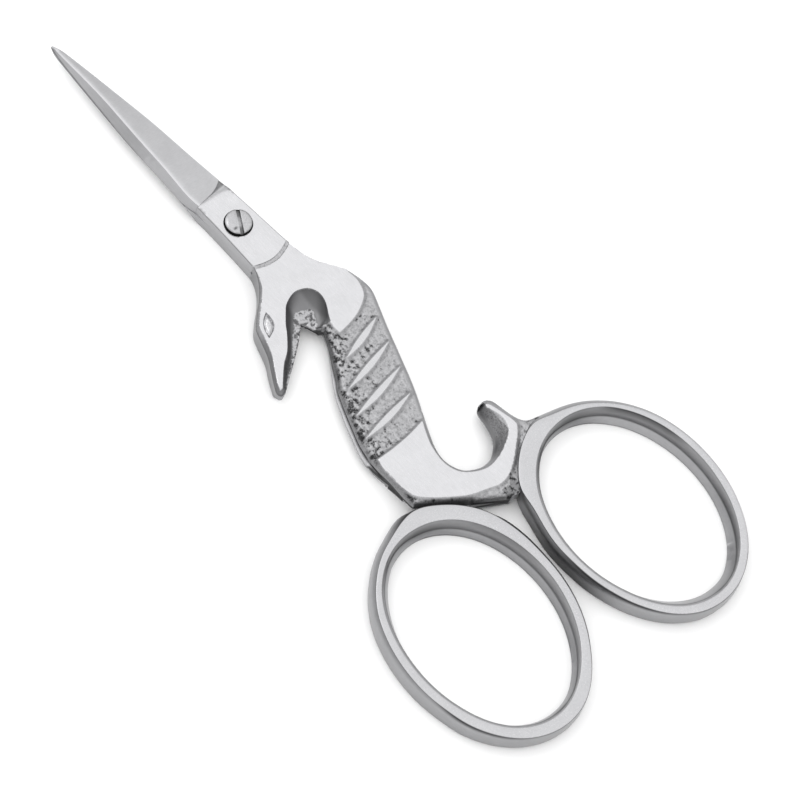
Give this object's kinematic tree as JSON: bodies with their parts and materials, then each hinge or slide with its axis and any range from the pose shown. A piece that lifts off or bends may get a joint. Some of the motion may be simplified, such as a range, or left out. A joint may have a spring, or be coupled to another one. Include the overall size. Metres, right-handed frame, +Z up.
{
  "type": "embroidery scissors",
  "caption": "Small figural embroidery scissors: two stacked levers with pointed blades, a seahorse-shaped shank and oval finger bows, turning on a slotted pivot screw.",
  "frame": {"origin": "on the pivot axis, in the plane that the scissors rest on", "axes": "+Y along the closed scissors to the blade tips, +Z up through the thickness from the back lever to the screw head, +X to the side of the front lever's bow"},
  "size_m": [0.0474, 0.1035, 0.0038],
  "materials": {
    "ground_steel": "satin, ground along the blade",
    "polished_steel": "fine polish on the raised faces, pitted cast ground between them",
    "cast_ground_steel": "darkened pitted cast ground with polished ribs",
    "bow_steel": "satin polish",
    "screw_steel": "polished, dark slot"
  },
  "bodies": {
    "back_lever": {"back_blade": "ground_steel", "back_joint": "polished_steel", "back_head": "polished_steel", "back_trunk": "cast_ground_steel", "back_haunch": "polished_steel", "back_bow": "bow_steel", "pivot_screw": "screw_steel"},
    "front_lever": {"front_blade": "ground_steel", "front_joint": "polished_steel", "front_head": "polished_steel", "front_trunk": "cast_ground_steel", "front_haunch": "polished_steel", "front_bow": "bow_steel"}
  },
  "joints": [
    {"name": "pivot", "type": "hinge", "parent": "back_lever", "child": "front_lever", "pos_m": [0, 0, 0.0016], "axis": [0, 0, 1], "range_deg": [0, 110]}
  ]
}
